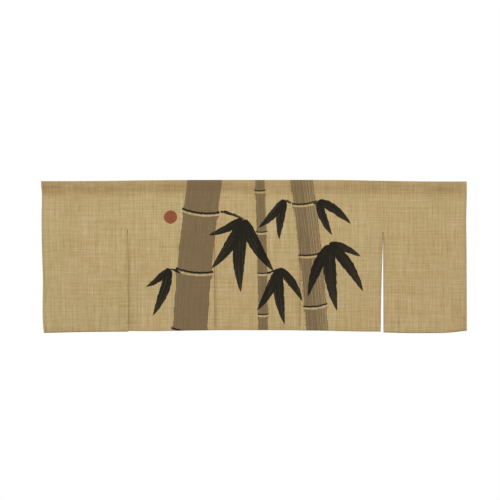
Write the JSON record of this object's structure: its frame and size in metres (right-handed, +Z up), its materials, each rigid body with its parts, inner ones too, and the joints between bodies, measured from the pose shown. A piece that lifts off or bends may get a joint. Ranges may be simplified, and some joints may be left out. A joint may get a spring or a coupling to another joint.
{
  "type": "noren curtain",
  "caption": "Short, wide doorway curtain of slubby natural cloth, cut into hanging panels by slits from the hem, with an open rod sleeve along its top.",
  "frame": {"origin": "middle of the top fold, the line that the curtain hangs from", "axes": "+X along the heading to the right of the printed front, -Y out of the printed front, +Z up"},
  "size_m": [1.7043, 0.0203, 0.6133],
  "materials": {
    "printed_linen": "matte slub weave with a brushed print",
    "sleeve_linen": "matte slub weave, doubled"
  },
  "bodies": {
    "root": {"curtain_cloth": "printed_linen", "rod_sleeve": "sleeve_linen"}
  },
  "joints": []
}
